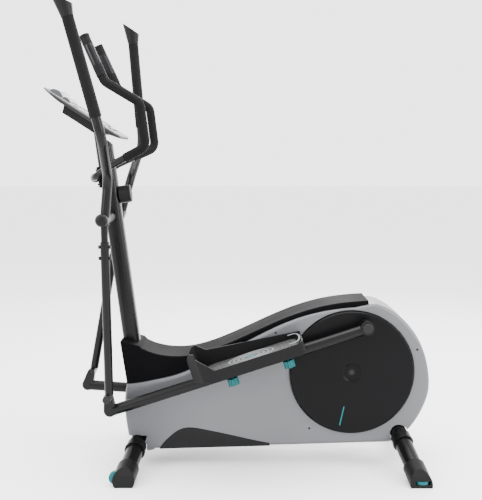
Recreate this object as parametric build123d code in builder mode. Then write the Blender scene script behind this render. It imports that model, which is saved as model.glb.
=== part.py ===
from build123d import *
import math
import os

# Elliptical trainer: crank and flywheel in a rear casing, two swing arms pivoted on a mast.
# Frame: millimetres, +Z up, -X towards the console, +X towards the rear feet, -Y is the user's left.
# Origin: bottom centre of the whole machine.

os.makedirs("parts", exist_ok=True)

# ---------------------------------------------------------------- driving dimensions
PIVOT_X, PIVOT_Z = -453.4, 879.8          # swing-arm pivot axis
CRANK_X, CRANK_Z = 390.4, 341.0           # crank axle axis
CRANK_R = 175.0                           # crank radius, half of the 350 mm stride
CRANK_ANGLE = 75.98                       # left crank pin above horizontal at rest
PIN_X, PIN_Z = 432.8, 510.8               # left crank pin at rest
JOINT_X, JOINT_Z = -451.1, 268.8          # left arm-to-pedal-arm joint at rest
ARM_SPLIT = 10.47                         # angle between the two swing arms at rest
PEDAL_SPLIT = 22.04                       # angle between the two pedal arms at rest
SWING_C, SWING_S = math.cos(math.radians(ARM_SPLIT)), math.sin(math.radians(ARM_SPLIT))
JOINT_RX = PIVOT_X + (JOINT_X - PIVOT_X) * SWING_C + (JOINT_Z - PIVOT_Z) * SWING_S
JOINT_RZ = PIVOT_Z - (JOINT_X - PIVOT_X) * SWING_S + (JOINT_Z - PIVOT_Z) * SWING_C

CASE_HALF, CASE_WALL, CASE_ROUND = 96.0, 3.5, 13.0
COVER_HALF, COVER_WALL, COVER_ROUND = 90.0, 3.0, 5.0
DISC_R, DISC_FACE, RECESS_R, RECESS_Y = 216.0, 109.0, 219.5, 82.0
STAB_R, CAP_R = 30.0, 37.0                # stabiliser tube, end cap
FOOT_Y, TUBE_END_Y = 300.0, 250.0         # outer face of the feet, end of the stabiliser tube
ARM_Y, HANDLE_Y = 200.0, 338.0            # swing arm plane at the pivot and at the grip
PEDAL_TUBE_Y, PEDAL_TUBE_R = 152.0, 19.0
SLOPE = 18.1                              # pedal arm tube slope at rest
MAST_TILT = 7.33                          # mast leans forward
RUN = 0.05                                # running radial clearance

SIDE = Plane.XZ                           # sketch x is world X, sketch y is world Z, normal is -Y


def save(builder, name):
    builder.part.label = name
    export_step(builder.part, "parts/" + name + ".step")
    print(name, "solids", len(builder.part.solids()), "volume", round(builder.part.volume / 1000, 1), "cm3")


def at_y(y):
    """Side-view plane at world Y = y; extrusions grow towards -Y."""
    return SIDE.offset(-y)


def mirrored(builder):
    return builder.part.mirror(Plane.XZ)


def along(points, radius, outer, inner=0.0):
    """Round tube or rod along straight runs joined by tangent arcs."""
    with BuildPart() as made:
        with BuildLine() as path:
            if len(points) == 2:
                Line(*points)
            else:
                FilletPolyline(*points, radius=radius)
        with BuildSketch(Plane(origin=path.line @ 0, z_dir=path.line % 0)):
            Circle(outer)
            if inner:
                Circle(inner, mode=Mode.SUBTRACT)
        sweep(path=path.line)
    return made


# ---------------------------------------------------------------- stabilisers and feet
def stab_point(end, y):
    (xi, zi, dx, dz) = end
    return Vector(xi + dx * (y - 118), -y, zi + dz * (y - 118))


FRONT = (-364.0, 74.0, -0.11, -0.28)      # centre at |Y| = 118, slope in X and in Z per unit of |Y|
REAR = (566.0, 104.0, 0.192, -0.50)


def stabiliser(end):
    pts = [stab_point(end, TUBE_END_Y), stab_point(end, 78)]
    return along(
        [(p.X, p.Y, p.Z) for p in pts] + [(p.X, -p.Y, p.Z) for p in reversed(pts)], 60, STAB_R, STAB_R - 2.5
    )


front_stabiliser = stabiliser(FRONT)
save(front_stabiliser, "front_stabiliser")
rear_stabiliser = stabiliser(REAR)
save(rear_stabiliser, "rear_stabiliser")


def stab_dir(end):
    return (stab_point(end, 300) - stab_point(end, 118)).normalized()


with BuildPart() as stabiliser_saddles:
    for end in (FRONT, REAR):
        start, way = stab_point(end, 104), stab_dir(end)
        with BuildSketch(Plane(origin=start, z_dir=way)):
            Circle(STAB_R + 4.5)
            Circle(STAB_R, mode=Mode.SUBTRACT)
        extrude(amount=34)
        with BuildSketch(Plane(origin=start + way * 26, z_dir=way)):
            Circle(STAB_R + 6.5)
            Circle(STAB_R + 2, mode=Mode.SUBTRACT)
        extrude(amount=8)
    mirror(about=Plane.XZ)
save(stabiliser_saddles, "stabiliser_saddles")

WHEEL_X, WHEEL_Z, WHEEL_R, WHEEL_Y = -412.0, 29.0, 23.0, 280.0
LEVEL_X, LEVEL_Y, LEVEL_R = 606.0, 280.0, 23.0


def end_cap(end, top):
    start, way = stab_point(end, 226), stab_dir(end)
    with BuildPart() as cap:
        with BuildSketch(Plane(origin=start, z_dir=way)):
            Circle(CAP_R)
        extrude(amount=120)
        fillet(cap.edges().sort_by(Axis.Y)[-1], radius=4)
        with BuildSketch(Plane.XY) as sole:
            with Locations((start.X, -245)):
                Rectangle(260, 110)
        extrude(amount=160, mode=Mode.INTERSECT)
        with BuildSketch(Plane.YZ.offset(start.X - 100)):
            with BuildLine():
                Polyline((-FOOT_Y - 5, top - 2), (-FOOT_Y - 5, 160), (-FOOT_Y + 75, 160), close=True)
            make_face()
        extrude(amount=200, mode=Mode.SUBTRACT)
        with BuildSketch(Plane(origin=start - way * 2, z_dir=way)):
            Circle(STAB_R)
        extrude(amount=2 + (stab_point(end, TUBE_END_Y) - start).length, mode=Mode.SUBTRACT)
    return cap


with BuildPart() as front_end_caps:
    add(end_cap(FRONT, 36).part)
    with BuildSketch(at_y(-(WHEEL_Y - 10))):
        with Locations((WHEEL_X - 10, WHEEL_Z)):
            Rectangle(2 * WHEEL_R + 22, 2 * WHEEL_R + 4)
    extrude(amount=20, mode=Mode.SUBTRACT)
    with BuildSketch(at_y(-(WHEEL_Y - 14))):
        with Locations((WHEEL_X, WHEEL_Z)):
            Circle(4.0)
    extrude(amount=28, mode=Mode.SUBTRACT)
    mirror(about=Plane.XZ)
save(front_end_caps, "front_end_caps")

with BuildPart() as rear_end_caps:
    add(end_cap(REAR, 32).part)
    with BuildSketch(Plane.XY.offset(11.5)):
        with Locations((LEVEL_X, -LEVEL_Y - 14)):
            Rectangle(2 * LEVEL_R + 3, 78)
    extrude(amount=12, mode=Mode.SUBTRACT)
    with BuildSketch(Plane.XY.offset(-1)):
        with Locations((LEVEL_X, -LEVEL_Y)):
            Circle(17)
    extrude(amount=16, mode=Mode.SUBTRACT)
    with BuildSketch(Plane.XY.offset(20)):
        with Locations((LEVEL_X, -LEVEL_Y)):
            Circle(5 + RUN)
    extrude(amount=17, mode=Mode.SUBTRACT)
    mirror(about=Plane.XZ)
save(rear_end_caps, "rear_end_caps")

with BuildPart() as left_transport_wheel:
    with BuildSketch(at_y(-(WHEEL_Y - 8.5))):
        with Locations((WHEEL_X, WHEEL_Z)):
            Circle(WHEEL_R)
    extrude(amount=17)
    fillet(left_transport_wheel.edges().filter_by(GeomType.CIRCLE), radius=3)
    with BuildSketch(at_y(-(WHEEL_Y - 13.5))):
        with Locations((WHEEL_X, WHEEL_Z)):
            Circle(4.0 - RUN)
    extrude(amount=27)
save(left_transport_wheel, "left_transport_wheel")
with BuildPart() as right_transport_wheel:
    add(mirrored(left_transport_wheel))
save(right_transport_wheel, "right_transport_wheel")

with BuildPart() as left_leveller:
    with BuildSketch(Plane.XY):
        with Locations((LEVEL_X, -LEVEL_Y)):
            Circle(14)
    extrude(amount=12)
    with BuildSketch(Plane.XY.offset(12)):
        with Locations((LEVEL_X, -LEVEL_Y)):
            Circle(LEVEL_R)
            with PolarLocations(LEVEL_R + 1, 18):
                Circle(1.6, mode=Mode.SUBTRACT)
    extrude(amount=10)
    with BuildSketch(Plane.XY.offset(22)):
        with Locations((LEVEL_X, -LEVEL_Y)):
            Circle(5)
    extrude(amount=13)
save(left_leveller, "left_leveller")
with BuildPart() as right_leveller:
    add(mirrored(left_leveller))
save(right_leveller, "right_leveller")

# ---------------------------------------------------------------- mast
MAST_FOOT = Vector(-350.0, 0, 150.0)
MAST_WAY = Vector(-math.sin(math.radians(MAST_TILT)), 0, math.cos(math.radians(MAST_TILT)))
MAST_OUT = Vector(math.cos(math.radians(MAST_TILT)), 0, math.sin(math.radians(MAST_TILT)))
MAST_D, MAST_W, MAST_ROUND = 58.0, 62.0, 20.0


def on_mast(z, out=0.0):
    """Point on the mast axis at world height z, moved out towards the user."""
    p = MAST_FOOT + MAST_WAY * ((z - MAST_FOOT.Z) / MAST_WAY.Z)
    return p + MAST_OUT * out


def mast_plane(z):
    return Plane(origin=on_mast(z), x_dir=MAST_OUT, z_dir=MAST_WAY)


AXLE_R = 10.0
with BuildPart() as pivot_axle:
    with BuildSketch(at_y(224)):
        with Locations((PIVOT_X, PIVOT_Z)):
            Circle(AXLE_R)
    extrude(amount=448)
    chamfer(pivot_axle.edges().filter_by(GeomType.CIRCLE), length=1)
save(pivot_axle, "pivot_axle")

with BuildPart() as pivot_bushes:
    with BuildSketch(at_y(-MAST_W / 2)):
        with Locations((PIVOT_X, PIVOT_Z)):
            Circle(19)
            Circle(AXLE_R, mode=Mode.SUBTRACT)
    extrude(amount=172 - MAST_W / 2)
    fillet(pivot_bushes.edges().filter_by(GeomType.CIRCLE).sort_by(Axis.Y)[0:2].sort_by(SortBy.LENGTH)[-1], radius=2)
    mirror(about=Plane.XZ)
save(pivot_bushes, "pivot_bushes")

# ---------------------------------------------------------------- main frame
SPINE_A, SPINE_B = Vector(-385, 0, 130.5), Vector(590, 0, 158.0)
SPINE_WAY = (SPINE_B - SPINE_A).normalized()
FLY_X, FLY_Z, FLY_R = -158.0, 243.0, 84.0


def spine_z(x):
    return SPINE_A.Z + (x - SPINE_A.X) * SPINE_WAY.Z / SPINE_WAY.X


with BuildPart() as main_frame:
    with BuildSketch(Plane(origin=SPINE_A, x_dir=(0, 1, 0), z_dir=SPINE_WAY)):
        RectangleRounded(60, 40, 5)
    extrude(amount=(SPINE_B - SPINE_A).length)
    # mast socket
    with BuildSketch(mast_plane(140)):
        RectangleRounded(MAST_D - 6.6, MAST_W - 6.6, MAST_ROUND - 3.3)
    extrude(amount=180)
    # crank shell on its upright
    with BuildSketch(Plane.XY.offset(spine_z(CRANK_X))):
        with Locations((CRANK_X, -14)):
            Rectangle(46, 30)
    extrude(amount=CRANK_Z - spine_z(CRANK_X))
    with BuildSketch(at_y(4)):
        with Locations((CRANK_X, CRANK_Z)):
            Circle(27)
    extrude(amount=36)
    with BuildSketch(at_y(10)):
        with Locations((CRANK_X, CRANK_Z)):
            Circle(22)
    extrude(amount=60, mode=Mode.SUBTRACT)
    # flywheel fork
    for y in (46, -42):
        with BuildSketch(at_y(y)):
            with BuildLine():
                Polyline(
                    (FLY_X - 40, spine_z(FLY_X)), (FLY_X + 40, spine_z(FLY_X)),
                    (FLY_X + 16, FLY_Z + 16), (FLY_X - 16, FLY_Z + 16), close=True
                )
            make_face()
            with Locations((FLY_X, FLY_Z)):
                Circle(8, mode=Mode.SUBTRACT)
        extrude(amount=4)
    for y in (-36, 36):
        with BuildSketch(Plane.XY.offset(spine_z(FLY_X) - 14)):
            with Locations((FLY_X, y)):
                Rectangle(80, 14)
        extrude(amount=20)
    # cradles that sit on the stabilisers
    for end in (FRONT, REAR):
        x, z = stab_point(end, 78).X, stab_point(end, 78).Z
        with BuildSketch(Plane.XY.offset(z + 12)):
            with Locations((x, 0)):
                Rectangle(50, 58)
        extrude(amount=spine_z(x) - z - 12)
    for end in (FRONT, REAR):
        p = stab_point(end, 78)
        with BuildSketch(Plane.XZ.offset(40)):
            with Locations((p.X, p.Z)):
                Circle(STAB_R)
        extrude(amount=-80, mode=Mode.SUBTRACT)
save(main_frame, "main_frame")

# ---------------------------------------------------------------- casing outlines (side view)
SEAM = [
    (-396, 298), (-364, 300.5), (-299, 313), (-237, 327), (-165, 354.5), (-70, 400), (32, 454),
    (117, 497), (220, 538), (296, 557), (398, 569.5),
]
SEAM_TIP = (448, 580)
REAR_CURVE = [
    (472, 582), (515.3, 565), (569.3, 525.5), (616.7, 467.8), (646.6, 402.5), (661.1, 336.9),
    (662.55, 274.7), (643.6, 212.2), (612.5, 156.8), (580.8, 119.8), (548.8, 97), (505, 87),
]
NOSE = [
    (-298, 63), (-312, 56), (-325, 54.5), (-345, 60), (-366, 71), (-386, 94), (-397, 135), (-404, 195),
    (-403, 257), (-396, 298),
]
TOP = [
    (-345, 424), (-300, 405), (-249, 396), (-193, 396), (-140, 406), (-37, 443), (66, 490),
    (168, 535), (245, 561.5), (322, 579.5), (399, 589), (446, 592),
]


def inset(points, depth, trim, count=26):
    """Points that run beside a smooth curve, to the right of its travel, short of its ends."""
    curve = Spline(*points)
    cut = trim / curve.length
    out = []
    for i in range(count):
        t = cut + (1 - 2 * cut) * i / (count - 1)
        p, g = curve @ t, curve % t
        out.append((p.X + g.Y * depth, p.Y - g.X * depth))
    return out


def casing_face():
    with BuildSketch(SIDE) as face:
        with BuildLine():
            Spline(*SEAM)
            Polyline(SEAM[-1], SEAM_TIP, REAR_CURVE[0])
            Spline(*REAR_CURVE)
            Line(REAR_CURVE[-1], NOSE[0])
            Spline(*NOSE)
        make_face()
    return face.sketch


def casing_hollow(depth, trim):
    loop = [p for c in (SEAM, REAR_CURVE, NOSE) for p in inset(c, depth, trim, 14)]
    with BuildSketch(SIDE) as face:
        with BuildLine():
            Polyline(*loop, close=True)
        make_face()
    return face.sketch


SEAM_UP = [(x, z + 0.5) for x, z in SEAM]
COLLAR = [(-352, 432), (-418, 447)]


def cover_face():
    with BuildSketch(SIDE) as face:
        with BuildLine():
            Spline(*SEAM_UP)
            Polyline(SEAM_UP[-1], (SEAM_TIP[0], SEAM_TIP[1] + 0.5), TOP[-1])
            Spline(*TOP)
            Polyline(TOP[0], *COLLAR, SEAM_UP[0])
        make_face()
    return face.sketch


def cover_hollow():
    loop = inset(SEAM_UP, -COVER_WALL, 12, 16) + inset(TOP, COVER_WALL, 12, 16)[::-1] + [(-352, 428), (-414, 442)]
    with BuildSketch(SIDE) as face:
        with BuildLine():
            Polyline(*loop, close=True)
        make_face()
    return face.sketch


def stab_hole(end, radius):
    start, way = stab_point(end, 40), stab_dir(end)
    with BuildPart() as hole:
        with BuildSketch(Plane(origin=start, z_dir=way)):
            Circle(radius)
        extrude(amount=120)
    return hole.part


INSERT = [
    (-283, 66), (-268, 88), (-248, 108), (-222, 129), (-196, 140), (-165, 141.5), (-120, 134), (-69, 123.5),
    (30, 101), (105, 86),
]


INSERT_IN = inset(INSERT, 0.4, 0.6)


def insert_face(flush):
    top = INSERT_IN if flush else INSERT
    low = [(105.5, 75.3), (-283, 63.8)] if flush else [(108, 60), (-287, 48)]
    with BuildSketch(SIDE) as face:
        with BuildLine():
            Spline(*top)
            Polyline(top[-1], *low, top[0])
        make_face()
    return face.sketch


SCREWS = [(124.6, 479.7), (618.0, 420.6), (244.5, 139.0), (538.0, 124.2)]

casing_inner, casing_inner_deep = casing_hollow(CASE_WALL, 9), casing_hollow(CASE_WALL + 8, 20)
cover_inner = cover_hollow()

with BuildPart() as casing_left:
    with BuildSketch(SIDE):
        add(casing_face())
    extrude(amount=CASE_HALF)
    fillet(casing_left.faces().sort_by(Axis.Y)[0].edges(), radius=CASE_ROUND)
    # hollow in two steps, so the wall stays whole behind the rounded edge
    with BuildSketch(SIDE):
        add(casing_inner)
    extrude(amount=CASE_HALF - CASE_ROUND + 1, mode=Mode.SUBTRACT)
    with BuildSketch(SIDE):
        add(casing_inner_deep)
    extrude(amount=CASE_HALF - CASE_WALL, mode=Mode.SUBTRACT)
    # dished recess behind the crank disc
    with BuildSketch(at_y(-(RECESS_Y - CASE_WALL))):
        with Locations((CRANK_X, CRANK_Z)):
            Circle(RECESS_R + CASE_WALL)
    extrude(amount=CASE_HALF - RECESS_Y + CASE_WALL - 0.5)
    with BuildSketch(at_y(-RECESS_Y)):
        with Locations((CRANK_X, CRANK_Z)):
            Circle(RECESS_R)
    extrude(amount=40, mode=Mode.SUBTRACT)
    with BuildSketch(at_y(-60)):
        with Locations((CRANK_X, CRANK_Z)):
            Circle(16)
    extrude(amount=40, mode=Mode.SUBTRACT)
    # window for the dark lower insert, open at the bottom edge
    with BuildSketch(at_y(-(CASE_HALF - 12.5))):
        add(insert_face(False))
    extrude(amount=20, mode=Mode.SUBTRACT)
    # stabiliser and mast passages
    add(stab_hole(FRONT, STAB_R + 3.5), mode=Mode.SUBTRACT)
    add(stab_hole(REAR, STAB_R + 3.5), mode=Mode.SUBTRACT)
    with BuildSketch(mast_plane(230)):
        RectangleRounded(MAST_D + 3, MAST_W + 3, MAST_ROUND + 1.5)
    extrude(amount=200, mode=Mode.SUBTRACT)
    with BuildSketch(Plane.XY.offset(20)):
        with Locations((-364, 0)):
            Rectangle(72, 210)
    extrude(amount=92, mode=Mode.SUBTRACT)
    with BuildSketch(Plane.XY.offset(20)):
        with Locations((560, 0)):
            Rectangle(90, 150)
    extrude(amount=122, mode=Mode.SUBTRACT)
    for x, z in SCREWS:
        with BuildSketch(at_y(-(CASE_HALF - 8))):
            with Locations((x, z)):
                Circle(4)
        extrude(amount=20, mode=Mode.SUBTRACT)
save(casing_left, "casing_left")

with BuildPart() as lower_inserts:
    with BuildSketch(at_y(-(CASE_HALF - 12))):
        add(insert_face(True))
    extrude(amount=11.5)
    mirror(about=Plane.XZ)
save(lower_inserts, "lower_inserts")

with BuildPart() as casing_screws:
    for x, z in SCREWS:
        with BuildSketch(at_y(-(CASE_HALF - 8))):
            with Locations((x, z)):
                Circle(3.9)
        extrude(amount=6)
        with BuildSketch(at_y(-(CASE_HALF - 4))):
            with Locations((x, z)):
                RegularPolygon(1.8, 6)
        extrude(amount=3, mode=Mode.SUBTRACT)
    mirror(about=Plane.XZ)
save(casing_screws, "casing_screws")

with BuildPart() as top_cover:
    with BuildSketch(at_y(COVER_HALF)):
        add(cover_face())
    extrude(amount=2 * COVER_HALF)
    tops = []
    for face in (top_cover.faces().sort_by(Axis.Y)[0], top_cover.faces().sort_by(Axis.Y)[-1]):
        tops.append(face.edges().filter_by(GeomType.BSPLINE).sort_by(Axis.Z)[-1])
    fillet(tops, radius=COVER_ROUND)
    with BuildSketch(at_y(COVER_HALF - COVER_WALL)):
        add(cover_inner)
    extrude(amount=2 * (COVER_HALF - COVER_WALL), mode=Mode.SUBTRACT)
    with BuildSketch(mast_plane(230)):
        RectangleRounded(MAST_D + 2, MAST_W + 2, MAST_ROUND + 1)
    extrude(amount=260, mode=Mode.SUBTRACT)
    with BuildSketch(mast_plane(290)):
        RectangleRounded(MAST_D + 12, MAST_W + 40, MAST_ROUND + 1)
    extrude(amount=80, mode=Mode.SUBTRACT)
save(top_cover, "top_cover")

# ---------------------------------------------------------------- crank, pulley, flywheel
with BuildPart() as crank_bearings:
    for y in (4, -20):
        with BuildSketch(at_y(y)):
            with Locations((CRANK_X, CRANK_Z)):
                Circle(22)
                Circle(10 + RUN, mode=Mode.SUBTRACT)
        extrude(amount=12)
save(crank_bearings, "crank_bearings")

with BuildPart() as crank_axle:
    with BuildSketch(at_y(102)):
        with Locations((CRANK_X, CRANK_Z)):
            Circle(10)
    extrude(amount=204)
    chamfer(crank_axle.edges().filter_by(GeomType.CIRCLE), length=1)
save(crank_axle, "crank_axle")

CX, SX = math.cos(math.radians(CRANK_ANGLE)), math.sin(math.radians(CRANK_ANGLE))
with BuildPart() as crank_arms:
    for side in (-1, 1):
        px, pz = CRANK_X - side * CRANK_R * CX, CRANK_Z - side * CRANK_R * SX
        with BuildSketch(at_y(-87) if side < 0 else at_y(103)):
            with BuildLine():
                l1 = CenterArc((CRANK_X, CRANK_Z), 24, 0, 360)
            make_face()
            with Locations((px, pz)):
                Circle(18)
            with BuildLine():
                Polyline(
                    (CRANK_X - 22 * SX, CRANK_Z + 22 * CX), (px - 16 * SX, pz + 16 * CX),
                    (px + 16 * SX, pz - 16 * CX), (CRANK_X + 22 * SX, CRANK_Z - 22 * CX), close=True
                )
            make_face()
            with Locations((CRANK_X, CRANK_Z)):
                Circle(10, mode=Mode.SUBTRACT)
        extrude(amount=16)
save(crank_arms, "crank_arms")

with BuildPart() as crank_discs:
    with BuildSketch(Plane(origin=(CRANK_X, 0, CRANK_Z), x_dir=(1, 0, 0), z_dir=(0, 0, 1))):
        with BuildLine():
            Polyline(
                (13, -103.3), (30, -103.3), (30, -105.5), (212, -105.5), (212, -87), (DISC_R, -87),
                (DISC_R, -(DISC_FACE - 4)), (DISC_R - 4, -DISC_FACE), (34, -DISC_FACE), (27, -105), (13, -105), close=True
            )
        make_face()
    revolve(axis=Axis((CRANK_X, 0, CRANK_Z), (0, 1, 0)))
    mirror(about=Plane.XZ)
save(crank_discs, "crank_discs")

PULLEY_R, PINION_R = 118.0, 20.0
with BuildPart() as drive_pulley:
    with BuildSketch(at_y(23)):
        with Locations((CRANK_X, CRANK_Z)):
            Circle(PULLEY_R)
            Circle(PULLEY_R - 8, mode=Mode.SUBTRACT)
    extrude(amount=14)
    with BuildSketch(at_y(18)):
        with Locations((CRANK_X, CRANK_Z)):
            Circle(PULLEY_R - 6)
            with PolarLocations(68, 6):
                Circle(24, mode=Mode.SUBTRACT)
    extrude(amount=4)
    with BuildSketch(at_y(25)):
        with Locations((CRANK_X, CRANK_Z)):
            Circle(24)
    extrude(amount=20)
    with BuildSketch(at_y(30)):
        with Locations((CRANK_X, CRANK_Z)):
            Circle(10)
    extrude(amount=40, mode=Mode.SUBTRACT)
save(drive_pulley, "drive_pulley")

with BuildPart() as flywheel_axle:
    with BuildSketch(at_y(54)):
        with Locations((FLY_X, FLY_Z)):
            Circle(8)
    extrude(amount=108)
    for y in (52, -46.2):
        with BuildSketch(at_y(y)):
            with Locations((FLY_X, FLY_Z)):
                RegularPolygon(13, 6)
        extrude(amount=5.8)
save(flywheel_axle, "flywheel_axle")

with BuildPart() as flywheel:
    with BuildSketch(at_y(-5)):
        with Locations((FLY_X, FLY_Z)):
            Circle(FLY_R)
            Circle(FLY_R - 26, mode=Mode.SUBTRACT)
    extrude(amount=26)
    with BuildSketch(at_y(-14)):
        with Locations((FLY_X, FLY_Z)):
            Circle(FLY_R - 20)
    extrude(amount=8)
    with BuildSketch(at_y(40)):
        with Locations((FLY_X, FLY_Z)):
            Circle(15)
    extrude(amount=80)
    with BuildSketch(at_y(24)):
        with Locations((FLY_X, FLY_Z)):
            Circle(PINION_R)
    extrude(amount=16)
    with BuildSketch(at_y(60)):
        with Locations((FLY_X, FLY_Z)):
            Circle(8 + RUN)
    extrude(amount=120, mode=Mode.SUBTRACT)
save(flywheel, "flywheel")


def belt_face(grow):
    big, small = PULLEY_R + grow, PINION_R + grow
    dx, dz = CRANK_X - FLY_X, CRANK_Z - FLY_Z
    span = math.hypot(dx, dz)
    lean = math.atan2(dz, dx)
    open_angle = math.acos((big - small) / span)
    pts = []
    for s in (1, -1):
        a = lean + math.pi - s * open_angle
        pts.append(
            ((CRANK_X + big * math.cos(a), CRANK_Z + big * math.sin(a)),
             (FLY_X + small * math.cos(a), FLY_Z + small * math.sin(a)))
        )
    with BuildSketch(SIDE) as face:
        with Locations((CRANK_X, CRANK_Z)):
            Circle(big)
        with Locations((FLY_X, FLY_Z)):
            Circle(small)
        with BuildLine():
            Polyline(pts[0][0], pts[0][1], pts[1][1], pts[1][0], close=True)
        make_face()
    return face.sketch


with BuildPart() as drive_belt:
    with BuildSketch(at_y(21)):
        add(belt_face(4.2))
        add(belt_face(0.5), mode=Mode.SUBTRACT)
    extrude(amount=10)
save(drive_belt, "drive_belt")

with BuildPart() as brake_unit:
    with BuildSketch(at_y(1)):
        with BuildLine():
            outer = CenterArc((FLY_X, FLY_Z), FLY_R + 20, 145, 75)
            inner = CenterArc((FLY_X, FLY_Z), FLY_R + 4, 145, 75)
            Line(outer @ 0, inner @ 0)
            Line(outer @ 1, inner @ 1)
        make_face()
    extrude(amount=38)
    with BuildSketch(Plane.XY.offset(spine_z(-246) + 20.6)):
        with Locations((-266, -18)):
            Rectangle(40, 24)
        with Locations((-300, -18)):
            Rectangle(34, 34)
    extrude(amount=62)
save(brake_unit, "brake_unit")

INLET_Y, INLET_Z = 40.0, 175.0
with BuildPart() as power_inlet:
    with BuildSketch(Plane.YZ.offset(-407.5)):
        with Locations((INLET_Y, INLET_Z)):
            Circle(8)
            Circle(2.9, mode=Mode.SUBTRACT)
    extrude(amount=26)
    with BuildSketch(Plane.YZ.offset(-384)):
        with Locations((INLET_Y, INLET_Z)):
            Circle(8)
    extrude(amount=3)
    with BuildSketch(Plane.YZ.offset(-409)):
        with Locations((INLET_Y, INLET_Z)):
            Circle(11)
            Circle(2.9, mode=Mode.SUBTRACT)
    extrude(amount=2)
save(power_inlet, "power_inlet")
with BuildPart() as casing_right:
    add(mirrored(casing_left))
    with BuildSketch(Plane.YZ.offset(-420)):
        with Locations((INLET_Y, INLET_Z)):
            Circle(8.2)
    extrude(amount=30, mode=Mode.SUBTRACT)
    with BuildSketch(Plane.YZ.offset(-420)):
        with Locations((INLET_Y, INLET_Z)):
            Circle(11.3)
    extrude(amount=13.4, mode=Mode.SUBTRACT)
save(casing_right, "casing_right")

# ---------------------------------------------------------------- console
CONSOLE_TILT = 32.7
CS, CC = math.sin(math.radians(CONSOLE_TILT)), math.cos(math.radians(CONSOLE_TILT))
CONSOLE_MID = Vector(-531.5, 0, 1239.8)
CONSOLE_L, CONSOLE_W = 310.0, 246.0


def console_plane(up):
    return Plane(origin=CONSOLE_MID + Vector(CS, 0, CC) * up, x_dir=(CC, 0, -CS), z_dir=(CS, 0, CC))


def console_side(y):
    """Side profile plane of the console: sketch x runs from the tip to the user's edge, sketch y is up."""
    return Plane(origin=CONSOLE_MID + Vector(0, y, 0), x_dir=(CC, 0, -CS), z_dir=(0, -1, 0))


BUTTON_X, BUTTON_YS, BUTTON_R = 104.0, (-44.0, 0.0, 44.0), 10.0
with BuildPart() as console_housing:
    with BuildSketch(console_plane(-14)):
        RectangleRounded(CONSOLE_L, CONSOLE_W, 38)
    extrude(amount=14)
    with BuildSketch(console_side(CONSOLE_W)):
        with BuildLine():
            Polyline((-160, -3), (-160, -20), (-70, -20), (-84, -14), close=True)
        make_face()
        with BuildLine():
            Polyline((160, -7), (160, -20), (110, -20), (128, -14), close=True)
        make_face()
    extrude(amount=2 * CONSOLE_W, mode=Mode.SUBTRACT)
    # tablet rest: two rounded stops across the top
    with BuildSketch(console_side(70)):
        with Locations((-113, -6)):
            Ellipse(27, 21)
        with Locations((-74, -6)):
            Ellipse(18, 16)
        with Locations((-93, -20)):
            Rectangle(120, 40, mode=Mode.SUBTRACT)
    extrude(amount=140)
    with BuildSketch(console_plane(-2.2)):
        with Locations((20, 0)):
            RectangleRounded(112, 172, 8)
    extrude(amount=4, mode=Mode.SUBTRACT)
    for y in BUTTON_YS:
        with BuildSketch(console_plane(-11)):
            with Locations((BUTTON_X, y)):
                Circle(BUTTON_R + 0.35)
        extrude(amount=12, mode=Mode.SUBTRACT)
save(console_housing, "console_housing")

with BuildPart() as console_screen:
    with BuildSketch(console_plane(-2.1)):
        with Locations((20, 0)):
            RectangleRounded(111.4, 171.4, 7.7)
    extrude(amount=2)
save(console_screen, "console_screen")

with BuildPart() as console_back:
    with BuildSketch(console_side(104)):
        with BuildLine():
            Polyline((-64, -14), (-56, -40), (70, -40), (122, -14.2), close=True)
        make_face()
    extrude(amount=208)
    fillet(console_back.edges().filter_by(Axis.Y).sort_by(Axis.Z)[0:2], radius=6)
    with BuildSketch(console_side(101)):
        with BuildLine():
            Polyline((-58, -17), (-51.5, -37), (68, -37), (108, -17), close=True)
        make_face()
    extrude(amount=202, mode=Mode.SUBTRACT)
    with BuildSketch(console_plane(-45)):
        with Locations((26, 0)):
            Circle(9)
    extrude(amount=20, mode=Mode.SUBTRACT)
save(console_back, "console_back")

for name, y in zip(("start_button", "plus_button", "minus_button"), BUTTON_YS):
    with BuildPart() as button:
        with BuildSketch(console_plane(-7.5)):
            with Locations((BUTTON_X, y)):
                Circle(BUTTON_R)
        extrude(amount=10.5)
        fillet(button.edges().filter_by(GeomType.CIRCLE).sort_by(Axis.Z)[-1], radius=1.5)
    save(button, name)

# ---------------------------------------------------------------- mast again: console plate, clamp holes
CLAMP_Z = 1021.0
BAR_R, FOAM_R, GRIP_R = 12.5, 15.5, 17.0
BAR_X, BAR_Z = on_mast(CLAMP_Z, -43.75).X, on_mast(CLAMP_Z, -43.75).Z
with BuildPart() as mast:
    with BuildSketch(mast_plane(180)):
        RectangleRounded(MAST_D, MAST_W, MAST_ROUND)
        RectangleRounded(MAST_D - 6, MAST_W - 6, MAST_ROUND - 3, mode=Mode.SUBTRACT)
    extrude(amount=1060)
    with BuildSketch(console_plane(-44)):
        Rectangle(700, 300)
    extrude(amount=300, mode=Mode.SUBTRACT)
    with BuildSketch(console_plane(-44)):
        with Locations((14, 0)):
            RectangleRounded(118, 84, 8)
    extrude(amount=3.8)
    with BuildSketch(at_y(60)):
        with Locations((PIVOT_X, PIVOT_Z)):
            Circle(AXLE_R)
    extrude(amount=120, mode=Mode.SUBTRACT)
    for dz in (-27, 27):
        c = on_mast(CLAMP_Z) + MAST_WAY * dz
        with BuildSketch(Plane(origin=c - MAST_OUT * 34, x_dir=(0, 1, 0), z_dir=MAST_OUT)):
            Circle(4)
        extrude(amount=14, mode=Mode.SUBTRACT)
    for z in (236, 276):
        with BuildSketch(Plane(origin=on_mast(z, 34), x_dir=(0, 1, 0), z_dir=MAST_OUT)):
            Circle(4)
        extrude(amount=-10, mode=Mode.SUBTRACT)
save(mast, "mast")

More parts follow.
